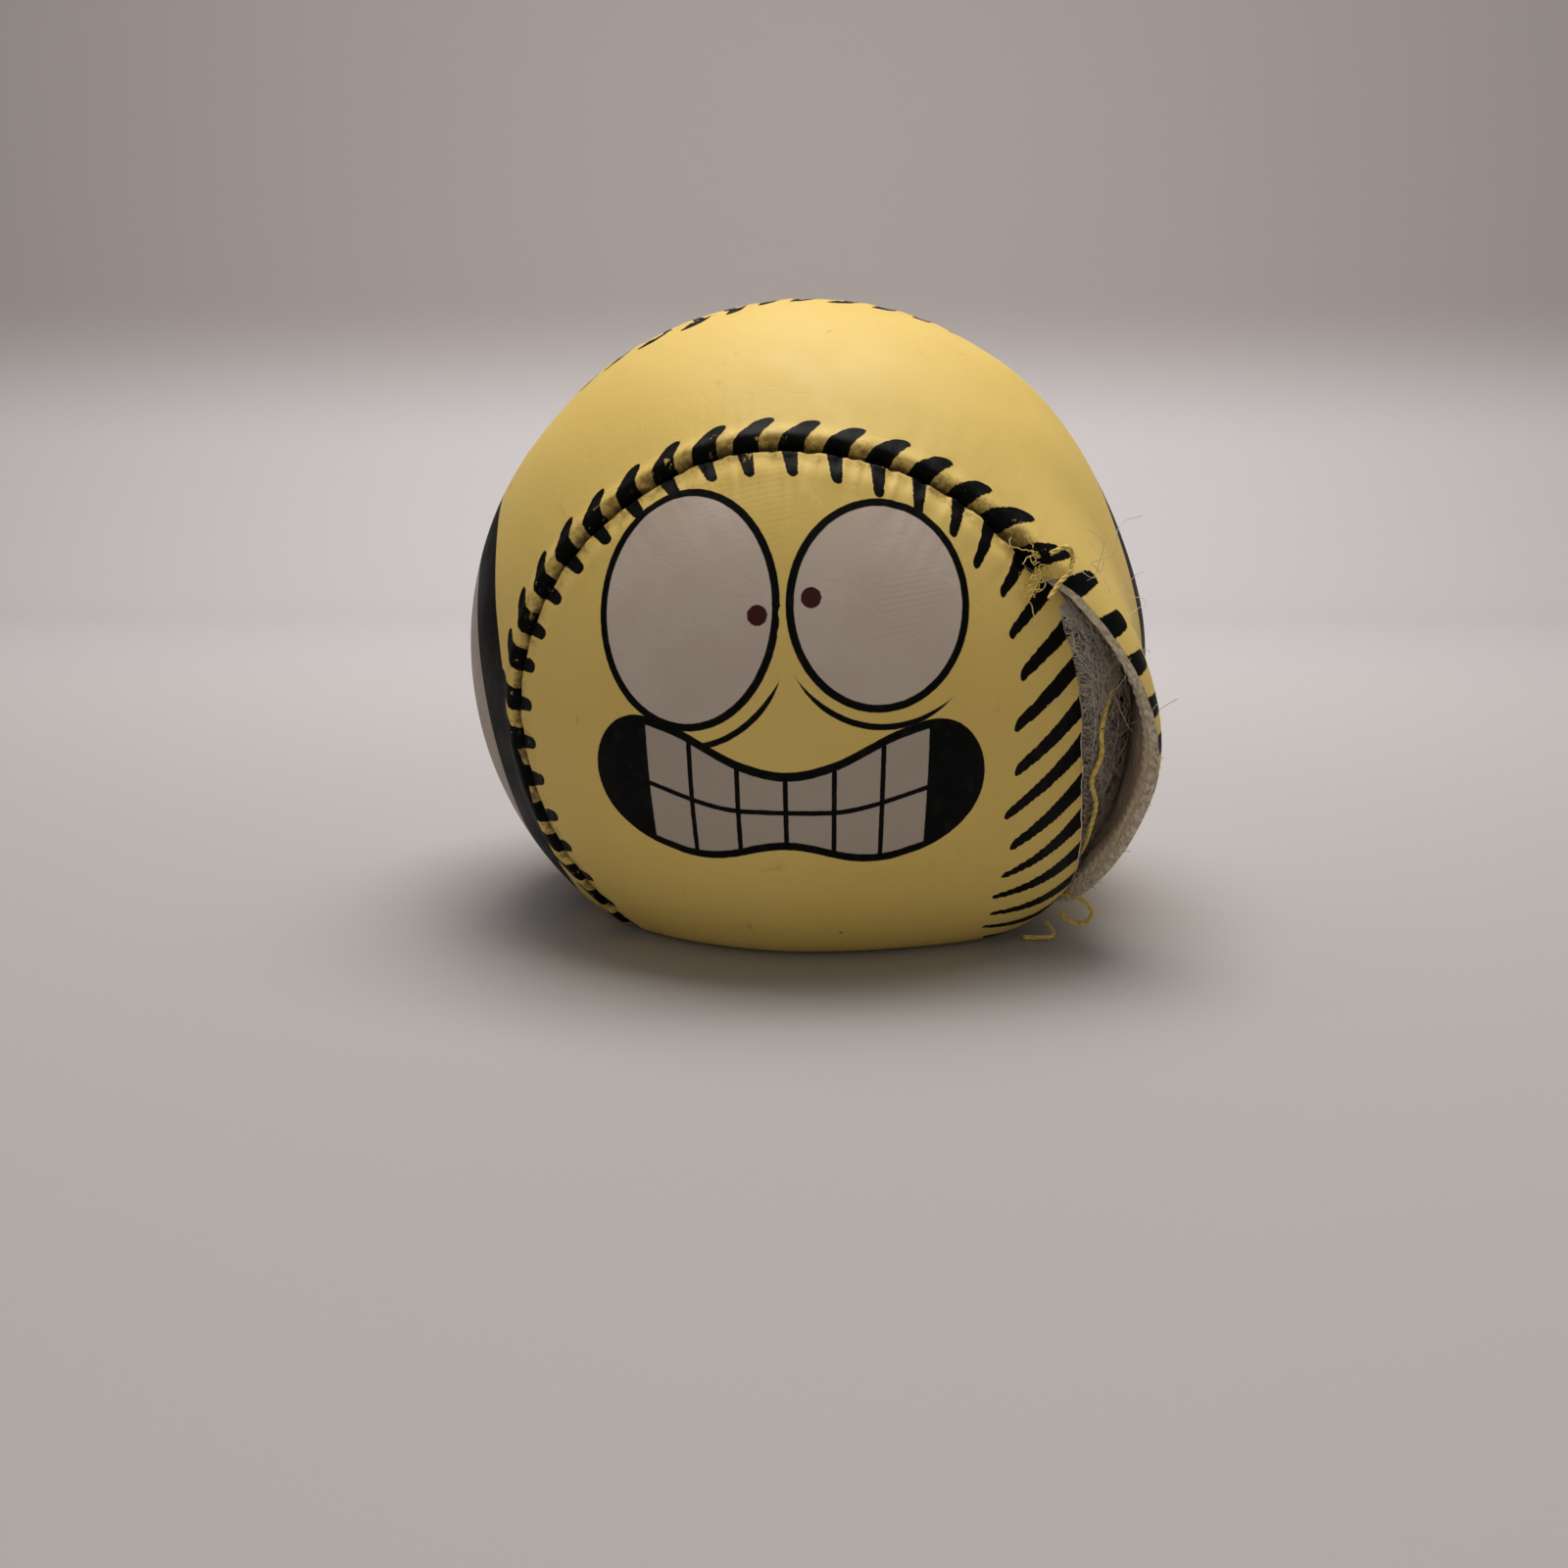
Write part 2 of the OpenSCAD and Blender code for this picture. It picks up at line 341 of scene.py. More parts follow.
def side_fields(p):
    """A plain ringed oval on each of the two side lobes."""
    left = ellipse(*chart(p, unit(np.array([-0.97, -0.10, -0.17]))), 0, 0, 20.5, 25.0)
    right = ellipse(*chart(p, unit(np.array([0.98, -0.02, 0.2]))), 0, -1.0, 13.0, 17.0)
    return {"oval": np.where(p[:, 0] < 0, left, right)}


# ---------------------------------------------------------------- materials
def new_material(name):
    material = bpy.data.materials.new(name)
    material.use_nodes = True
    nodes = material.node_tree.nodes
    return material, nodes, material.node_tree.links, nodes["Principled BSDF"]


class Graph:
    """Short names for the nodes that the materials share."""

    def __init__(self, name):
        self.material, self.nodes, self.links, self.shader = new_material(name)
        self.place = self.nodes.new("ShaderNodeTexCoord").outputs["Object"]

    def node(self, kind, settings=None, **inputs):
        made = self.nodes.new(kind)
        for key, value in (settings or {}).items():
            setattr(made, key, value)
        for key, value in inputs.items():
            self.feed(made.inputs[key.replace("_", " ")], value)
        return made

    def feed(self, socket, value):
        if isinstance(value, bpy.types.NodeSocket):
            self.links.new(value, socket)
        else:
            socket.default_value = value

    def attribute(self, name):
        return self.node("ShaderNodeAttribute", {"attribute_name": name}).outputs["Fac"]

    def noise(self, scale, detail=3.0, roughness=0.5, place=None):
        made = self.node("ShaderNodeTexNoise", Scale=scale, Detail=detail, Roughness=roughness)
        self.links.new(place or self.place, made.inputs["Vector"])
        return made.outputs["Fac"]

    def math(self, operation, a, b=0.0, c=0.0):
        made = self.nodes.new("ShaderNodeMath")
        made.operation = operation
        for socket, value in zip(made.inputs, (a, b, c)):
            self.feed(socket, value)
        return made.outputs[0]

    def ramp(self, value, low, high, to_low=0.0, to_high=1.0):
        made = self.node("ShaderNodeMapRange", {"interpolation_type": "SMOOTHSTEP"})
        ends = (("From Min", low), ("From Max", high), ("To Min", to_low), ("To Max", to_high))
        for key, item in (("Value", value),) + ends:
            self.feed(made.inputs[key], item)
        return made.outputs["Result"]

    def mix(self, share, a, b):
        made = self.nodes.new("ShaderNodeMix")
        made.data_type = "RGBA"
        self.feed(made.inputs["Factor"], share)
        self.feed(made.inputs["A"], a)
        self.feed(made.inputs["B"], b)
        return made.outputs["Result"]

    def bump(self, height, strength, distance, under=None):
        made = self.node("ShaderNodeBump", Strength=strength, Distance=distance, Height=height)
        if under is not None:
            self.links.new(under, made.inputs["Normal"])
        return made.outputs["Normal"]


def wave(g, place_name, pitch):
    """A thread-by-thread wave along one direction of the cloth, both in millimetres."""
    return g.math("SINE", g.math("MULTIPLY", g.attribute(place_name), 2 * math.pi / pitch))


def draw_marks(g):
    """Below zero inside a printed stitch: a stroke with round ends, a little unlike its neighbours."""
    count = g.attribute("mark_u")
    cell = g.math("FLOOR", g.math("ADD", count, 0.5))
    varied = g.nodes.new("ShaderNodeTexWhiteNoise")
    varied.noise_dimensions = "1D"
    g.links.new(cell, varied.inputs["W"])
    odd = g.math("SUBTRACT", varied.outputs["Value"], 0.5)
    x = g.math("SUBTRACT", g.math("SUBTRACT", count, cell), g.math("MULTIPLY", odd, 0.09))
    x = g.math("MULTIPLY", x, g.attribute("mark_w"))
    height = g.attribute("mark_v")
    length = g.math("MULTIPLY", g.attribute("mark_l"), g.math("ADD", g.math("MULTIPLY", odd, 0.16), 1.0))
    wide, tip = g.attribute("mark_wide"), g.attribute("mark_tip")
    share = g.math("MINIMUM", g.math("DIVIDE", height, length), 1.0)
    half = g.math("ADD", wide, g.math("MULTIPLY", g.math("SUBTRACT", tip, wide), share))
    y = g.math("MAXIMUM", g.math("SUBTRACT", height, g.math("SUBTRACT", length, tip)), 0.0)
    reach = g.math("SQRT", g.math("ADD", g.math("MULTIPLY", x, x), g.math("MULTIPLY", y, y)))
    return g.math("SUBTRACT", reach, half)


def draw_face(g):
    """Below zero inside the face's black lines, and inside its teeth."""
    eye, mouth = g.attribute("eye"), g.attribute("mouth")
    outline = g.math("SUBTRACT", g.math("ABSOLUTE", eye), 0.37)
    bag = g.math("SUBTRACT", g.math("ABSOLUTE", g.attribute("bag")), g.attribute("bag_wide"))
    black = g.math("MINIMUM", g.math("MINIMUM", outline, bag), g.math("SUBTRACT", mouth, 0.25))
    tooth = 4.5
    place = g.math("ADD", g.math("DIVIDE", g.attribute("tooth_x"), tooth), 0.5)
    gap = g.math("ABSOLUTE", g.math("SUBTRACT", g.math("FRACT", g.math("ADD", place, 20.0)), 0.5))
    gap = g.math("SUBTRACT", 0.24, g.math("MULTIPLY", gap, tooth))
    bite = g.math("SUBTRACT", 0.26, g.math("ABSOLUTE", g.attribute("tooth_y")))
    teeth = g.math("MAXIMUM", g.math("MAXIMUM", gap, bite), g.attribute("teeth"))
    return black, teeth


def film_material():
    """Smooth coated cloth: yellow film, printed inks, the weave showing through, soil and scuffs, with painted
    shade in the sewn seam's crease.
    """
    g = Graph("coated_film")
    yellow = g.mix(g.ramp(g.noise(38, 4), 0.35, 0.7), (0.80, 0.58, 0.165, 1), (0.755, 0.535, 0.14, 1))
    worn = g.mix(g.ramp(g.noise(310, 5, 0.65), 0.63, 0.74), yellow, (0.66, 0.455, 0.12, 1))
    ragged = g.math("MULTIPLY", g.math("SUBTRACT", g.noise(1500, 2), 0.5), 0.09)
    specks = g.math("MULTIPLY", g.ramp(g.noise(700, 2, 0.4), 0.765, 0.79), g.ramp(g.noise(60, 2), 0.5, 0.62))
    worn = g.mix(g.math("MULTIPLY", specks, 0.8), worn, (0.22, 0.13, 0.03, 1))
    seam_soil = g.ramp(g.attribute("seam_away"), 0.3, 2.4, 1.0, 0.0)
    soil = g.math("MULTIPLY", seam_soil, g.ramp(g.noise(620, 5, 0.7), 0.46, 0.60))
    base = g.mix(g.math("MULTIPLY", soil, 0.75), worn, (0.24, 0.13, 0.028, 1))
    # Painted shade: a near-black line where the film rolls into the sewn seam's crease.
    ragged_away = g.math("ADD", g.attribute("seam_away"), g.math("MULTIPLY", ragged, 8.0))
    seam_crease_shade = g.ramp(ragged_away, 0.1, 0.7, 0.85, 0.0)
    base = g.mix(seam_crease_shade, base, (0.07, 0.04, 0.012, 1))

    def ink(distance, softness=0.045):
        return g.ramp(g.math("ADD", distance, ragged), -softness, softness, 1.0, 0.0)

    face_black, teeth = draw_face(g)
    oval = g.attribute("oval")
    ring = g.math("SUBTRACT", g.math("ABSOLUTE", g.math("ADD", oval, 3.1)), 3.1)
    marks = ink(draw_marks(g))
    lines = ink(g.math("MINIMUM", face_black, ring))
    black = g.math("MAXIMUM", marks, lines)
    pale = g.mix(g.ramp(g.noise(120, 4), 0.3, 0.7), (0.61, 0.51, 0.425, 1), (0.555, 0.455, 0.37, 1))
    dark = g.mix(g.ramp(g.noise(900, 3), 0.5, 0.75), (0.0015, 0.0015, 0.0015, 1), (0.007, 0.0065, 0.006, 1))
    dull = (0.45, 0.375, 0.31, 1)
    flaked = g.ramp(g.noise(800, 5, 0.7), 0.625, 0.66)
    chips = g.math("MULTIPLY", flaked, g.ramp(seam_soil, 0.0, 0.6, 0.0, 0.8))
    colour = g.mix(ink(g.attribute("eye")), base, pale)
    colour = g.mix(ink(oval), colour, dull)
    colour = g.mix(g.math("MULTIPLY", black, g.math("SUBTRACT", 1.0, chips)), colour, dark)
    colour = g.mix(ink(teeth), colour, dull)
    colour = g.mix(ink(g.attribute("pupil")), colour, (0.045, 0.003, 0.003, 1))
    core = g.mix(g.ramp(g.noise(1800, 3), 0.35, 0.65), (0.84, 0.75, 0.60, 1), (0.56, 0.47, 0.34, 1))
    cut_line = g.ramp(g.math("ADD", g.attribute("cut_line"), g.math("MULTIPLY", ragged, 5.0)), 0.58, 0.72)
    colour = g.mix(g.math("MAXIMUM", g.attribute("cut_edge"), cut_line), colour, core)
    g.feed(g.shader.inputs["Base Color"], colour)

    rough = g.ramp(g.noise(260, 4), 0.3, 0.75, 0.50, 0.62)
    rough_edge = g.math("MULTIPLY", g.attribute("cut_edge"), 0.9)
    g.feed(g.shader.inputs["Roughness"], g.math("MAXIMUM", rough, rough_edge))
    g.feed(g.shader.inputs["Specular IOR Level"], g.math("MULTIPLY_ADD", black, -0.14, 0.22))

    weave = g.math("ADD", wave(g, "cloth_y", 0.56), g.math("MULTIPLY", wave(g, "cloth_x", 0.50), 0.25))
    weave = g.math("MULTIPLY", weave, g.ramp(g.noise(90, 3), 0.45, 0.75, 0.0, 0.8))
    grain = g.noise(2600, 3, 0.6)
    creases = g.math("ABSOLUTE", g.math("SUBTRACT", g.noise(150, 5, 0.55), 0.5))
    normal = g.bump(g.ramp(creases, 0.0, 0.03), 0.06, 0.0002)
    normal = g.bump(weave, 0.10, 0.00005, normal)
    normal = g.bump(grain, 0.12, 0.00005, normal)
    normal = g.bump(black, 0.20, 0.00006, normal)
    g.feed(g.shader.inputs["Normal"], normal)
    return g.material


def backing_material():
    """Brushed beige weave with a nap, paler along the cut edge."""
    g = Graph("woven_backing")
    stretched = g.node("ShaderNodeMapping", Scale=(1, 1, 0.25))
    g.links.new(g.place, stretched.inputs["Vector"])
    nap = g.noise(1300, 5, 0.65, stretched.outputs["Vector"])
    colour = g.mix(g.ramp(nap, 0.3, 0.7), (0.66, 0.44, 0.25, 1), (0.93, 0.68, 0.42, 1))
    colour = g.mix(g.ramp(g.noise(170, 4), 0.4, 0.75, 0.0, 0.6), colour, (0.44, 0.27, 0.14, 1))
    colour = g.mix(g.ramp(g.attribute("seam_away"), 0.3, 3.0, 0.8, 0.0), colour, (0.90, 0.76, 0.56, 1))
    g.feed(g.shader.inputs["Base Color"], colour)
    g.feed(g.shader.inputs["Roughness"], 0.92)
    g.feed(g.shader.inputs["Specular IOR Level"], 0.15)
    g.feed(g.shader.inputs["Sheen Weight"], 0.35)
    g.feed(g.shader.inputs["Sheen Roughness"], 0.5)
    weave = g.math("ADD", wave(g, "cloth_y", 0.62), wave(g, "cloth_x", 0.62))
    normal = g.bump(weave, 0.35, 0.00012)
    normal = g.bump(nap, 0.7, 0.00025, normal)
    g.feed(g.shader.inputs["Normal"], normal)
    return g.material


def fibre_material(name, light, dark, rough=0.75):
    """Matted polyester fibre, with painted shade towards the bottom."""
    g = Graph(name)
    fine = g.noise(2200, 6, 0.7)
    colour = g.mix(g.ramp(fine, 0.3, 0.7), dark, light)
    colour = g.mix(g.ramp(g.noise(260, 4), 0.45, 0.7, 0.0, 0.5), colour, dark)
    # Painted shade: the fibre turns a darker brown lower down the ball, where less of the top light falls.
    place = g.node("ShaderNodeSeparateXYZ")
    g.links.new(g.place, place.inputs[0])
    colour = g.mix(g.ramp(place.outputs["Z"], 0.016, 0.038, 0.65, 0.0), colour, (0.50, 0.36, 0.23, 1))
    g.feed(g.shader.inputs["Base Color"], colour)
    g.feed(g.shader.inputs["Roughness"], rough)
    g.feed(g.shader.inputs["Sheen Weight"], 0.3)
    g.feed(g.shader.inputs["Normal"], g.bump(fine, 0.9, 0.0006))
    return g.material


def thread_material():
    """Twisted yellow sewing thread."""
    g = Graph("sewing_thread")
    colour = g.mix(g.ramp(g.noise(1900, 4), 0.35, 0.7), (0.60, 0.41, 0.045, 1), (0.86, 0.66, 0.15, 1))
    g.feed(g.shader.inputs["Base Color"], colour)
    g.feed(g.shader.inputs["Roughness"], 0.55)
    g.feed(g.shader.inputs["Sheen Weight"], 0.4)
    g.feed(g.shader.inputs["Normal"], g.bump(g.noise(5200, 2), 0.5, 0.0001))
    return g.material


FILM = film_material()
BACKING = backing_material()
FIBRE = fibre_material("matted_fibre", (0.97, 0.83, 0.66, 1), (0.66, 0.52, 0.38, 1))
STRAND = fibre_material("loose_strand", (1.0, 0.93, 0.81, 1), (0.90, 0.77, 0.61, 1), 0.5)
THREAD = thread_material()


# ---------------------------------------------------------------- tubes
def tube(points, radius, sides=5, taper=0.0):
    """Points and faces of a tube along a route."""
    points = np.asarray(points, float)
    ahead = unit(np.gradient(points, axis=0) + 1e-12)
    side = unit(np.cross(ahead, [0.31, 0.22, 1.0]))
    over = np.cross(ahead, side)
    turns = np.arange(sides) * 2 * math.pi / sides
    width = radius * (1 - taper * np.linspace(0, 1, len(points)) ** 2)
    ring = side[:, None] * np.cos(turns)[None, :, None] + over[:, None] * np.sin(turns)[None, :, None]
    rings = points[:, None] + ring * width[:, None, None]
    faces = []
    for i in range(len(points) - 1):
        for k in range(sides):
            n = (k + 1) % sides
            faces.append((i * sides + k, i * sides + n, (i + 1) * sides + n, (i + 1) * sides + k))
    return rings.reshape(-1, 3), faces


def tubes_piece(name, routes, radius, material, sides=5, taper=0.0):
    points, faces, start = [], [], 0
    for route in routes:
        p, f = tube(route, radius, sides, taper)
        points.append(p)
        faces += [tuple(start + i for i in face) for face in f]
        start += len(p)
    return new_mesh(name, np.concatenate(points), faces, material)


def spline(route, steps):
    """A smooth route through given points, as in the CAD model."""
    route = np.asarray(route, float)
    out = []
    last = len(route) - 1
    for i in range(last):
        a, b, c, d = route[max(i - 1, 0)], route[i], route[i + 1], route[min(i + 2, last)]
        for k in range(steps):
            u = k / steps
            square_term, cube_term = 2 * a - 5 * b + 4 * c - d, 3 * b - a - 3 * c + d
            out.append(0.5 * (2 * b + (c - a) * u + square_term * u ** 2 + cube_term * u ** 3))
    out.append(route[last])
    return np.array(out)


def plies(route, radius, count=3, turns_per_metre=420):
    """Twisted strands around a route."""
    ahead = unit(np.gradient(route, axis=0))
    side = unit(np.cross(ahead, [0.31, 0.22, 1.0]))
    over = np.cross(ahead, side)
    run = np.concatenate([[0], np.cumsum(np.linalg.norm(np.diff(route, axis=0), axis=1))])
    strands = []
    for k in range(count):
        angle = run * turns_per_metre * 2 * math.pi + k * 2 * math.pi / count
        offset = side * np.cos(angle)[:, None] + over * np.sin(angle)[:, None]
        strands.append(route + offset * radius * 0.52)
    return strands


# Loose threads, each from its sewn end to its free end, in metres, as in the CAD model
FRAYED_ROUTE = MM * np.array([
    [28.0, -24.6, 34.5], [28.9, -25.0, 32.0], [30.0, -23.6, 29.2], [29.0, -25.2, 26.4], [28.2, -26.2, 23.6],
    [28.4, -25.6, 20.8], [27.6, -25.4, 18.2], [28.4, -23.8, 15.6], [28.2, -22.4, 12.8], [28.0, -20.0, 10.2],
    [27.2, -18.0, 7.8], [26.8, -16.4, 5.6],
])
TUFT_ROUTE = MM * np.array([
    [22.0, -30.6, 40.4], [23.4, -30.4, 41.0], [24.2, -29.8, 40.2], [23.8, -30.6, 38.8], [22.8, -31.4, 37.8],
    [21.8, -31.9, 36.4],
])
LOOP_ROUTE = MM * np.array([
    [26.4, -16.0, 4.2], [27.8, -16.8, 4.3], [29.2, -17.8, 3.6], [29.6, -18.3, 2.6], [28.6, -18.3, 1.7],
    [27.3, -17.7, 1.8], [26.4, -16.9, 2.6],
])
TAIL_ROUTE = MM * np.array([
    [25.2, -16.4, 1.2], [25.6, -17.6, 0.7], [25.4, -18.8, 0.4], [24.0, -19.2, 0.4], [22.4, -19.0, 0.4],
])


def thread_piece(name, route, node):
    path = spline(route, 24)
    piece = tubes_piece(name, plies(path, THREAD_D / 2), THREAD_D * 0.26, THREAD, 6)
    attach(piece, "ball")
    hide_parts(node)
    return piece, path


def make_threads():
    frayed, path = thread_piece("frayed_thread", FRAYED_ROUTE, "frayed_seam_thread")
    thread_piece("thread_knot_tuft", TUFT_ROUTE, "thread_tuft")
    thread_piece("thread_low_loop", LOOP_ROUTE, "thread_loop")
    thread_piece("thread_low_tail", TAIL_ROUTE, "thread_tail")


# ---------------------------------------------------------------- the cover
ROWS, COLUMNS = 520, 171


def panel_grid(crown):
    """The grid of a panel: its parameters, unit vectors, and places by the seam."""
    lobe_end = math.radians(179.6)
    t = np.linspace(-lobe_end, lobe_end, ROWS)
    across = np.linspace(-1, 1, COLUMNS)
    s = np.sign(across) * (1 - (1 - np.abs(across)) ** 1.25)
    t, s = (a.ravel() for a in np.meshgrid(t, s, indexing="ij"))
    p = (crown_place if crown else face_place)(panel_point(t, s))
    arc, away = seam_place(p)
    return t, s, p, arc, away


def groove(arc, away, crown):
    """Height of the film over the ball: it rolls into the sewn seam, and stays flat along the tear."""
    sewn = 1 - torn_share(arc)
    stitch = np.sin(arc * 2 * math.pi / PITCH)
    if crown:
        high = 0.12 + 0.34 * bump(arc, 116, 34)
        roll = high * bump(away, 1.0, 1.0) + 0.06 * bump(away, 2.6, 1.6)
        roll = roll - 1.5 * np.exp(-((away / 0.36) ** 1.6))
        pucker = 0.05 * stitch * bump(away, 0.9, 0.9)
    else:
        roll = -0.16 * bump(away, 1.1, 1.0) - 1.2 * np.exp(-((away / 0.30) ** 1.5))
        roll = roll + 0.08 * bump(away, 2.6, 1.2)
        pucker = 0.06 * stitch * bump(away, 0.8, 0.8)
    return sewn * (roll + pucker)


def creases(arc, away):
    """Fine puckers that run away from the sewn seam, deepest next to the tear's top end."""
    near = (0.05 + 0.16 * bump(arc, 86, 15)) * np.exp(-away / 4.0) * smooth(away / 0.5)
    lines = fbm(np.stack([arc * 0.9, away * 0.13, 0 * arc], -1) * MM, 1.0 * MM, 2)
    return near * (1 - np.abs(lines) * 2.2)


def slumped(p, arc, away):
    """Beside the tear the face panel's edge overhangs the seam, and its low corner has slumped."""
    sag = 2.6 * np.exp(-((np.arccos(np.clip(p @ LOW_CORNER, -1, 1)) / 0.30) ** 2))
    index = np.searchsorted(SEAM_ARC, arc) % len(SEAM_P)
    along = unit(SEAM_P[(index + 8) % len(SEAM_P)] - SEAM_P[index])
    across = np.cross(SEAM_P[index], along)
    across = across * np.sign(across @ CROWNWARD)[:, None]
    over = (1.5 * bump(arc, 66, 7) + 0.5 * bump(arc, 36, 6)) * smooth((5 - away) / 5) * torn_share(arc)
    ragged = 0.22 * fbm(np.stack([arc, 0 * arc, 0 * arc], -1) * MM, 1.6 * MM, 2) * smooth((0.8 - away) / 0.8)
    return sag, across * (over + ragged * torn_share(arc))[:, None] * MM


def cover_piece(crown):
    t, s, p, arc, away = panel_grid(crown)
    lift = groove(arc, away, crown) + creases(arc, away) * (0.5 if crown else 1)
    lift = lift + 0.28 * fbm(p * BALL_R, 16 * MM, 2)
    if crown:
        solid = spring(p * (BALL_R + lift * MM)[:, None], t, s)
    else:
        sag, aside = slumped(p, arc, away)
        solid = p * (BALL_R + (lift + sag) * MM)[:, None] + aside
    points = rest(shoulder(solid))
    cloth = panel_point(t, s)
    values = {
        "seam_away": away + 9 * torn_share(arc),
        "cloth_x": np.arcsin(cloth[:, 0]) * BALL_R / MM,
        "cloth_y": np.arctan2(cloth[:, 1], cloth[:, 2]) * BALL_R / MM,
        "cut_edge": 0 * away,
        "cut_line": torn_share(arc) * (0 if crown else 1) * smooth((0.5 - away) / 0.5),
    }
    far = 9.0 + 0 * away
    fields = face_fields(p)
    if crown:
        fields = {key: far for key in fields}
        fields["bag_wide"] = -far
        values.update(side_fields(p))
    else:
        values["oval"] = far
    values.update(fields)
    values.update(stitch_fields(arc, away, crown))
    return points, arc, values


def add_rims(points, values, arc):
    """A panel's long edges turn down: deep into the sewn seam, or by about the cover's thickness at the tear."""
    grid = points.reshape(ROWS, COLUMNS, 3)
    torn = torn_share(arc).reshape(ROWS, COLUMNS)
    value_grids = {k: v.reshape(ROWS, COLUMNS) for k, v in values.items()}
    left, right = [], []
    for column, out in ((0, left), (-1, right)):
        edge = grid[:, column]
        inward = unit(CENTRE - edge)
        ripple = 0.06 * MM * np.sin(arc.reshape(ROWS, COLUMNS)[:, column] * 9.0)
        for share in (0.04, 0.35, 1.0):
            depth = 1.3 * MM + torn[:, column] * (COVER_T * 1.10 - 1.3 * MM)
            out.append(edge + inward * (share * depth + ripple * torn[:, column])[:, None])
    wide = np.concatenate([np.stack(left[::-1], 1), grid, np.stack(right, 1)], 1)
    made = {}
    for key, value in value_grids.items():
        pad_left = np.repeat(value[:, :1], 3, 1)
        pad_right = np.repeat(value[:, -1:], 3, 1)
        if key == "cut_edge":
            pad_left, pad_right = np.repeat(torn[:, :1], 3, 1), np.repeat(torn[:, -1:], 3, 1)
        made[key] = np.concatenate([pad_left, value, pad_right], 1).ravel()
    return wide.reshape(-1, 3), made


def in_flap(points):
    return (points - CENTRE) @ FLAP_DIR > FOLD_REACH


def press(piece):
    """The piece's placement is baked into its mesh."""
    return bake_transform(piece)


def fold(piece):
    """The piece's placement is baked into its mesh."""
    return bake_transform(piece)


def make_face_cover():
    points, arc, values = cover_piece(False)
    points, values = add_rims(points, values, arc)
    faces = grid_faces(ROWS, COLUMNS + 6, False)
    piece = panel_piece("face_cover", points, faces, np.full(len(faces), True), values, FILM)
    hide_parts("face_panel_film")
    press(piece)


def make_crown_cover():
    points, arc, values = cover_piece(True)
    points, values = add_rims(points, values, arc)
    faces = grid_faces(ROWS, COLUMNS + 6, True)
    loose = in_flap(points[faces].mean(1))
    loose &= points[faces].mean(1)[:, 1] < 14 * MM
    crown = panel_piece("crown_cover", points, faces, ~loose, values, FILM)
    flap = panel_piece("flap_cover", points, faces, loose, values, FILM)
    for piece, node in ((crown, "crown_panel_film"), (flap, "torn_flap_film")):
        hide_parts(node)
    press(crown)
    fold(flap)


def make_backing(crown):
    """The woven inside of a panel, with a thick turned edge and its row of needle holes along the tear."""
    rows, columns = 360, 120
    first, last, inner = (-176, -30, -0.5) if crown else (40, 130, 0.35)
    t = np.linspace(math.radians(first), math.radians(last), rows)
    s = np.linspace(inner, 1, columns)
    t, s = (a.ravel() for a in np.meshgrid(t, s, indexing="ij"))
    p = (crown_place if crown else face_place)(panel_point(t, s))
    arc, away = seam_place(p)
    torn = torn_share(arc)
    allowance = torn * (0.75 if crown else 0.3) * smooth((4.2 - away) / 1.2) * smooth(away / 1.0)
    holes = torn * 0.16 * np.sin(arc * 2 * math.pi / NEEDLE_RIDGE) * bump(away, 1.5, 0.9)
    wrinkle = 0.35 * fbm(p * BALL_R * [1, 1, 0.4], 3.5 * MM, 3)
    depth = COVER_T / MM + allowance + holes + wrinkle * smooth(away / 5)
    depth = depth + 1.2 * (1 - torn) * np.exp(-away / 1.2)
    solid = p * (BALL_R - depth * MM)[:, None]
    solid = spring(solid, t, s) if crown else solid
    points = rest(shoulder(solid), COVER_T)
    cloth = panel_point(t, s)
    values = {
        "seam_away": away,
        "cloth_x": np.arcsin(cloth[:, 0]) * BALL_R / MM,
        "cloth_y": np.arctan2(cloth[:, 1], cloth[:, 2]) * BALL_R / MM,
    }
    faces = grid_faces(rows, columns, not crown)
    return points, faces, values


def make_backings():
    points, faces, values = make_backing(True)
    loose = in_flap(points[faces].mean(1))
    loose &= points[faces].mean(1)[:, 1] < 14 * MM
    crown = panel_piece("crown_backing", points, faces, ~loose, values, BACKING)
    flap = panel_piece("flap_backing", points, faces, loose, values, BACKING)
    points, faces, values = make_backing(False)
    face = panel_piece("face_backing", points, faces, np.full(len(faces), True), values, BACKING)
    nodes = ((crown, "crown_panel_backing"), (flap, "torn_flap_backing"), (face, "face_panel_backing"))
    for piece, node in nodes:
        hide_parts(node)
    press(crown)
    press(face)
    fold(flap)


# ---------------------------------------------------------------- the filling


def across_seam(p):
    """Millimetres along the surface from the seam, above zero on the crown panel's side of the tear."""
    arc, away = seam_place(p)
    seam_point = SEAM_P[np.searchsorted(SEAM_ARC, arc) % len(SEAM_P)]
    return arc, np.where((p - seam_point) @ CROWNWARD > 0, away, -away)


def tear_depth(arc):
    """1 well inside the tear, and 0 beyond its ends."""
    return smooth((arc - TEAR_FROM + 1) / 8) * smooth((TEAR_TO + 1 - arc) / 8)


def core_swell(p):
    """The packed fibre swells out along the torn edge, and is hollow under the sprung lobe."""
    arc, x = across_seam(p)
    swell = 1.3 * bump(x, 0.6, 2.0) - 2.6 * bump(x, 10.0, 7.0) - 1.2 * bump(x, 19.0, 5.0)
    return tear_depth(arc) * swell * ((p @ FLAP_DIR) > 0)


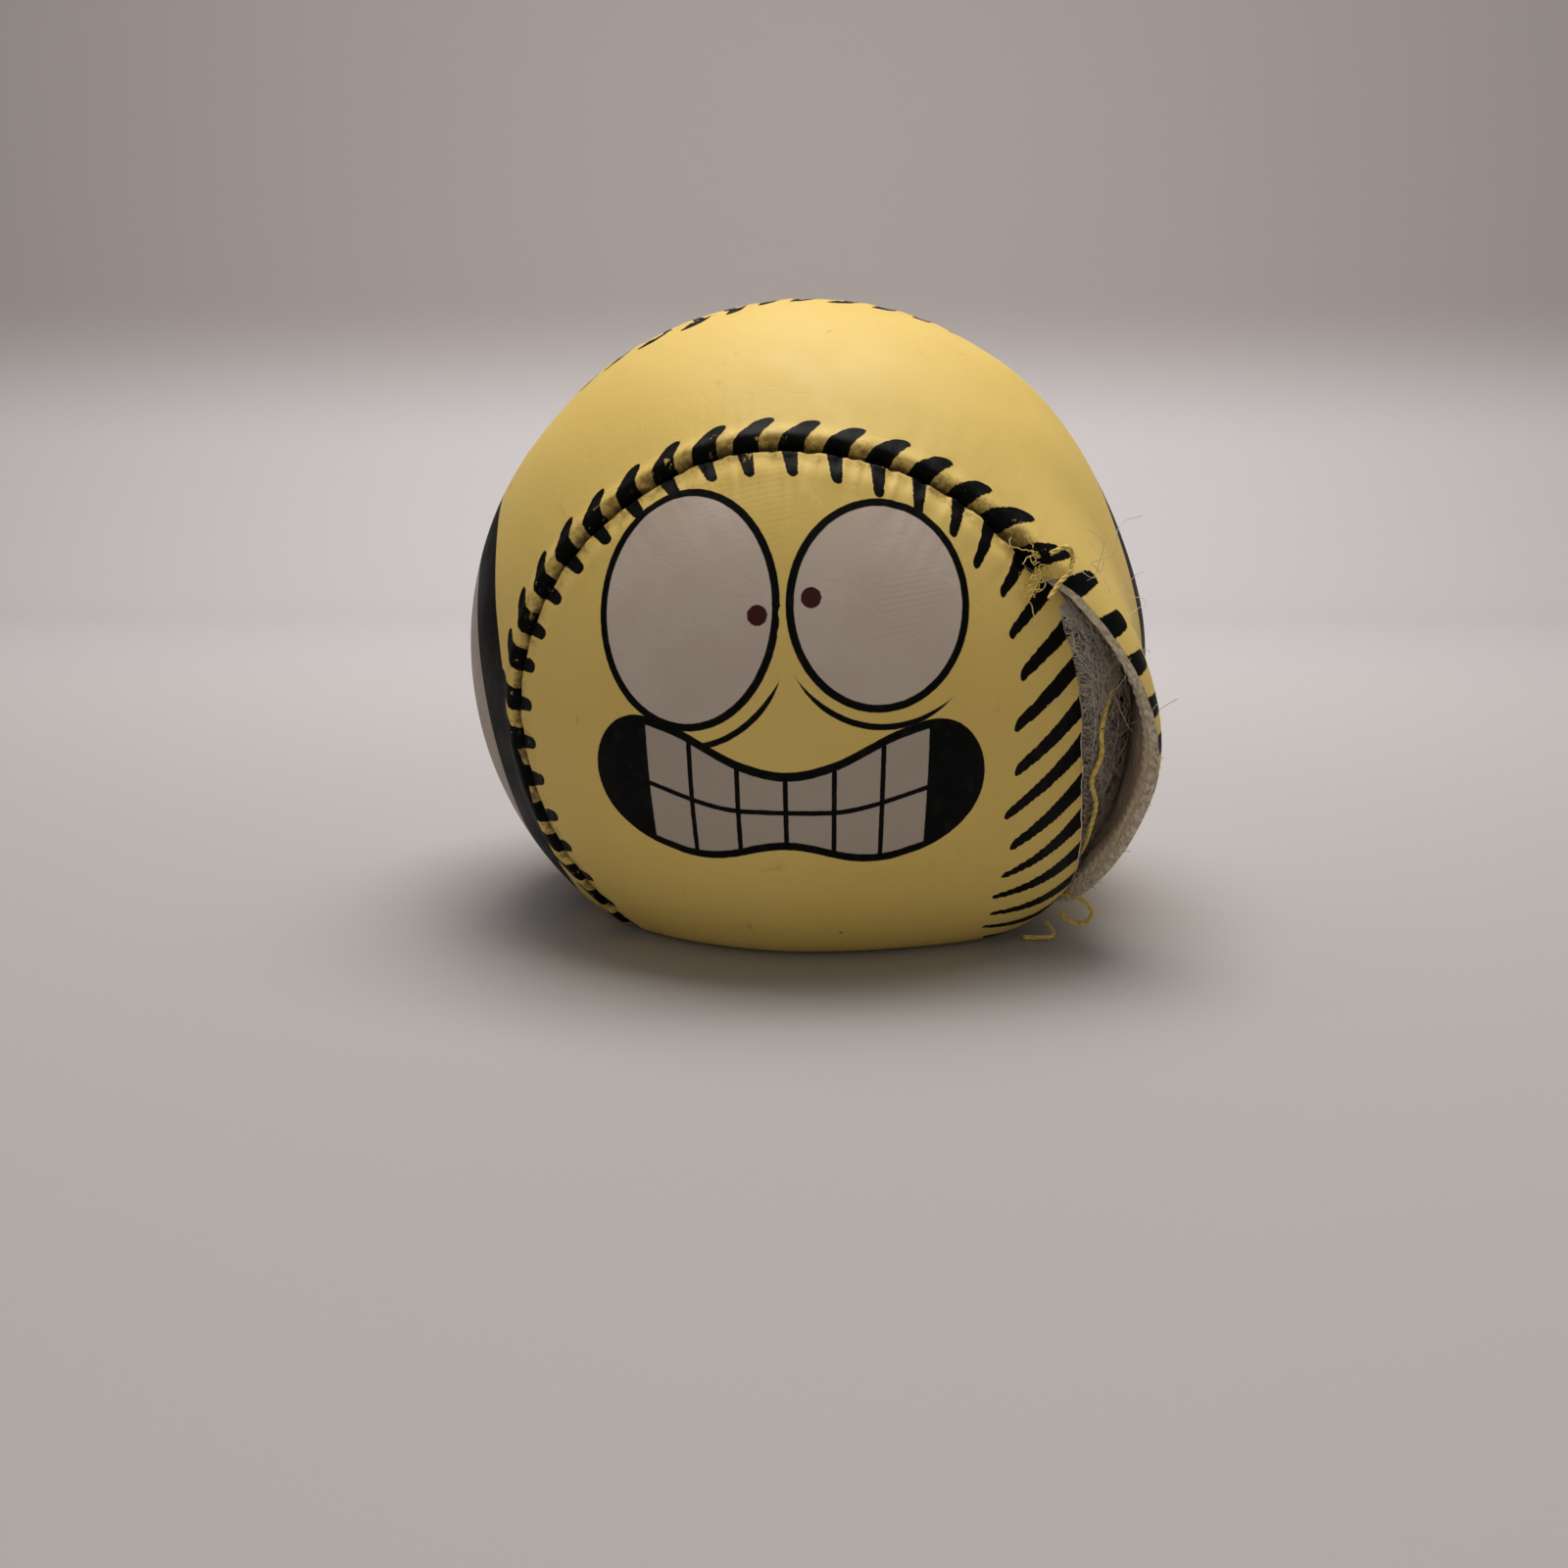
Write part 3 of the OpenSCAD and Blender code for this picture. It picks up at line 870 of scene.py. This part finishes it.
def make_core():
    bpy.ops.mesh.primitive_ico_sphere_add(subdivisions=7, radius=1)
    core = bpy.context.active_object
    core.name = "fibre_filling"
    count = len(core.data.vertices)
    p = np.empty(count * 3)
    core.data.vertices.foreach_get("co", p)
    p = unit(p.reshape(-1, 3))
    lumps = 0.45 * fbm(p * BALL_R, 4.5 * MM, 4)
    tufts = 0.22 * fbm(p * BALL_R, 1.1 * MM, 3)
    radius = CORE_R + (core_swell(p) + lumps * 0.7 + tufts - 0.35) * MM
    points = rest(shoulder(p * radius[:, None]), 2.4 * MM)
    core.data.vertices.foreach_set("co", points.ravel())
    core.data.shade_smooth()
    core.data.materials.append(FIBRE)
    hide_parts("fibre_core")
    press(core)


def tear_point(arc, aside, height):
    """A point by the tear: along the seam and across it in millimetres, and its height over the core."""
    index = int(np.searchsorted(SEAM_ARC, arc)) % len(SEAM_P)
    out = SEAM_P[index]
    along = unit(SEAM_P[(index + 8) % len(SEAM_P)] - out)
    across = np.cross(out, along)
    across = across if across @ np.array([0.68, 0.62, 0.39]) > 0 else -across
    direction = unit(out * BALL_R + across * aside * MM)
    return direction * (CORE_R + height * MM), out, along, across


def wander(start, heading, length, steps, curl_size):
    """A curly line from a start, about the ball's centre."""
    curl, points = rng.normal(0, 1, 3), [start]
    for _ in range(steps):
        curl = 0.86 * curl + 0.5 * rng.normal(0, 1, 3)
        heading = unit(heading + curl_size * curl)
        points.append(points[-1] + heading * length / steps)
    return np.array(points)


def held_in(routes):
    """Fibres are held under the cover, and stand out only in the gap of the tear."""
    points = np.concatenate(routes)
    reach = np.linalg.norm(points, axis=1)
    arc, x = across_seam(points / reach[:, None])
    gap = tear_depth(arc) * smooth((x + 0.6) / 1.2)
    high = CORE_R + (0.9 + gap * (2.3 * smooth((13 - x) / 6) + 0.2)) * MM
    low = CORE_R + (core_swell(points / reach[:, None]) * gap + 0.35 * gap - 0.5 * (1 - gap)) * MM
    points = points * (np.clip(reach, low, np.maximum(high, low)) / reach)[:, None] + CENTRE
    points[:, 2] = np.maximum(points[:, 2], 2.0 * MM)
    return np.split(points, np.cumsum([len(r) for r in routes])[:-1])


def make_fibres():
    fibres = []
    for _ in range(1900):
        arc = TEAR_FROM + 2 + (TEAR_TO - TEAR_FROM - 1) * rng.beta(1.3, 0.85)
        aside = rng.gamma(1.9, 2.1) - 0.5
        start, out, along, across = tear_point(arc, aside, rng.uniform(1.4, 3.6) - 0.12 * max(aside - 2, 0))
        heading = unit(along * rng.normal(0, 1) + across * rng.normal(0, 0.9) + out * rng.normal(0, 0.3))
        fibres.append(wander(start, heading, rng.uniform(4, 13) * MM, 18, rng.uniform(0.12, 0.4)))
    batting = tubes_piece("loose_fibres", held_in(fibres), 0.038 * MM, STRAND, 3)
    fold(batting)
    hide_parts("loose_batting")

    stray = []
    for _ in range(60):
        arc = rng.uniform(TEAR_TO - 22, TEAR_TO - 2)
        start, out, along, across = tear_point(arc, rng.uniform(1, 4), 1.8)
        heading = out * rng.uniform(0.3, 0.7) + across * rng.uniform(0.0, 1.2)
        heading = unit(heading + along * rng.uniform(-0.8, 0.8))
        stray.append(wander(start, heading, rng.uniform(4, 12) * MM, 26, rng.uniform(0.12, 0.4)) + CENTRE)
    hairs = tubes_piece("stray_hairs", stray, 0.034 * MM, STRAND, 3)
    fold(hairs)


def edge_frame(arc, crown):
    """A point on a panel's torn edge, and its directions out of the ball, along the edge and across it."""
    index = int(np.searchsorted(SEAM_ARC, arc)) % len(SEAM_P)
    out = SEAM_P[index]
    along = unit(SEAM_P[(index + 8) % len(SEAM_P)] - out)
    across = np.cross(out, along)
    across = across * np.sign(across @ CROWNWARD)
    point = out * (BALL_R - 0.5 * MM)
    if crown:
        t = np.array([math.radians(index * 720 / len(SEAM_P) - 180)])
        share = np.ones(1)
        point, ahead = (spring((point + step)[None], t, share)[0] for step in (0 * out, out * MM))
        out = unit(ahead - point)
    else:
        sag, aside = slumped(SEAM_P[index][None], np.array([arc]), np.zeros(1))
        point = point + out * sag[0] * MM + aside[0]
    return point, out, along, across


def make_edge_fuzz():
    """Short broken fibres of the cloth along both torn edges."""
    for name, crown, count in (("face_edge_fuzz", False, 300), ("flap_edge_fuzz", True, 110)):
        routes = []
        for _ in range(count):
            point, out, along, across = edge_frame(rng.uniform(TEAR_FROM + 3, TEAR_TO - 2), crown)
            point = point + out * rng.uniform(-0.3, 0.45) * MM
            away = -across if crown else across
            heading = unit(away * rng.uniform(0.4, 1) + along * rng.normal(0, 0.8) + out * rng.normal(0, 0.3))
            routes.append(wander(point, heading, rng.uniform(0.4, 1.1) * MM, 7, 0.35))
        points = rest(np.concatenate(routes), 0.1 * MM)
        routes = np.split(points, len(routes))
        fuzz = tubes_piece(name, routes, 0.035 * MM, STRAND, 3)
        if crown:
            fold(fuzz)
        else:
            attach(fuzz, "ball")


def make_frayed_ends():
    """Fine yellow filaments where the thread has come apart."""
    routes = []
    frays = (
        (TUFT_ROUTE + MM * np.array([-1.6, -0.6, 0.2]), 60, 0.8, 3.4), (FRAYED_ROUTE[:4], 12, 0.5, 3.0),
        (LOOP_ROUTE, 5, 0.3, 2.0), (TAIL_ROUTE, 8, 0.5, 2.2),
    )
    for route, count, spread, longest in frays:
        path = spline(route, 8) - CENTRE
        for _ in range(count):
            start = path[rng.integers(len(path))] + rng.normal(0, 0.3, 3) * spread * MM
            heading = unit(rng.normal(0, 1, 3))
            line = wander(start, heading, rng.uniform(0.4, 1) * longest * MM, 16, 0.5)
            reach = np.linalg.norm(line, axis=1)
            line = line * (np.minimum(reach, BALL_R + 0.9 * MM) / reach)[:, None] + CENTRE
            line[:, 2] = np.maximum(line[:, 2], 0.15 * MM)
            routes.append(line)
    ends = tubes_piece("frayed_filaments", routes, 0.055 * MM, THREAD, 4)
    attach(ends, "ball")


def make_stitching():
    """The lockstitch that still holds the rest of the seam, a thread on either side of it."""
    pitch = SEAM_LENGTH / LOCKSTITCHES
    threads = (("needle_stitches", "needle_thread", 1), ("bobbin_stitches", "bobbin_thread", -1))
    for name, node, side in threads:
        routes = []
        for k in range(LOCKSTITCHES):
            arc = (k + 0.5) * pitch
            if TEAR_FROM - 3 < arc < TEAR_TO + 2:
                continue
            ends = []
            for share in np.linspace(-0.42, 0.42, 5):
                index = int(np.searchsorted(SEAM_ARC, (arc + share * pitch) % SEAM_LENGTH)) % len(SEAM_P)
                out = SEAM_P[index]
                along = unit(SEAM_P[(index + 8) % len(SEAM_P)] - out)
                dip = 0.35 * MM * (share / 0.42) ** 2
                ends.append(out * (BALL_R - 1.9 * MM - dip) + np.cross(out, along) * side * 0.4 * MM)
            ends = np.array(ends)
            if (ends[:, 2] + CENTRE[2]).min() > 2.6 * MM:
                routes.append(ends + CENTRE)
        piece = tubes_piece(name, routes, THREAD_D / 2, THREAD, 8)
        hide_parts(node)
        press(piece)


# ---------------------------------------------------------------- stage and light
def sweep_material():
    g = Graph("pale_sweep")
    speck = g.ramp(g.noise(900, 2), 0.78, 0.82)
    colour = g.mix(g.ramp(g.noise(3, 2), 0.3, 0.7), (0.435, 0.42, 0.415, 1), (0.42, 0.405, 0.395, 1))
    place = g.node("ShaderNodeSeparateXYZ")
    g.links.new(g.place, place.inputs[0])
    # Painted light: the sheet is painted much paler from under the ball towards its back, where it bends up.
    colour = g.mix(g.ramp(place.outputs["Y"], -0.05, 0.44), colour, (0.84, 0.81, 0.82, 1))
    # Painted shade: the upright part of the sheet, above the bend, is painted back down to a mid grey.
    colour = g.mix(g.ramp(place.outputs["Z"], 0.06, 0.13), colour, (0.50, 0.455, 0.435, 1))
    specked = g.mix(g.math("MULTIPLY", speck, 0.25), colour, (0.3, 0.27, 0.25, 1))
    g.feed(g.shader.inputs["Base Color"], specked)
    g.feed(g.shader.inputs["Roughness"], 0.7)
    return g.material


def make_stage():
    """A pale sheet that lies on the table and curves up behind the ball."""
    width, front, back, height, bend = 1.7, -0.9, 0.50, 0.9, 0.12
    profile = [(front, 0.0)]
    for k in range(17):
        angle = k / 16 * math.pi / 2
        profile.append((back - bend + bend * math.sin(angle), bend - bend * math.cos(angle)))
    profile.append((back, height))
    points = [(x, y, z - 0.00002) for y, z in profile for x in (-width / 2, width / 2)]
    faces = [(2 * k, 2 * k + 1, 2 * k + 3, 2 * k + 2) for k in range(len(profile) - 1)]
    sheet = new_mesh("backdrop", points, faces, sweep_material())


def make_light(name, size, energy, place, aim, colour):
    light = bpy.data.lights.new(name, "AREA")
    light.shape = "RECTANGLE"
    light.size, light.size_y = size
    light.energy = energy
    light.color = colour
    lamp = bpy.data.objects.new(name, light)
    lamp.location = place
    lamp.rotation_euler = (Vector(aim) - Vector(place)).to_track_quat("-Z", "Y").to_euler()
    bpy.context.scene.collection.objects.link(lamp)


def make_lights():
    make_light("top_panel", (0.30, 0.26), 1.55, (0.015, 0.03, 0.42), (0, 0.0, 0.02), (1.0, 0.965, 0.93))
    make_light("front_fill", (0.9, 0.4), 0.62, (0, -0.75, 0.22), (0, 0.0, 0.04), (1.0, 0.97, 0.94))
    make_light("wall_wash", (0.9, 0.2), 1.30, (0, 0.10, 0.60), (0, 0.60, 0.08), (1.0, 0.98, 0.97))
    world = bpy.data.worlds.new("room")
    world.use_nodes = True
    world.node_tree.nodes["Background"].inputs["Color"].default_value = (1.0, 0.96, 0.94, 1)
    world.node_tree.nodes["Background"].inputs["Strength"].default_value = 0.16
    bpy.context.scene.world = world
    bpy.context.scene.view_settings.view_transform = "Standard"


make_camera()
make_threads()
make_stage()
make_lights()
make_core()
make_face_cover()
make_crown_cover()
make_backings()
make_stitching()
make_fibres()
make_edge_fuzz()
make_frayed_ends()
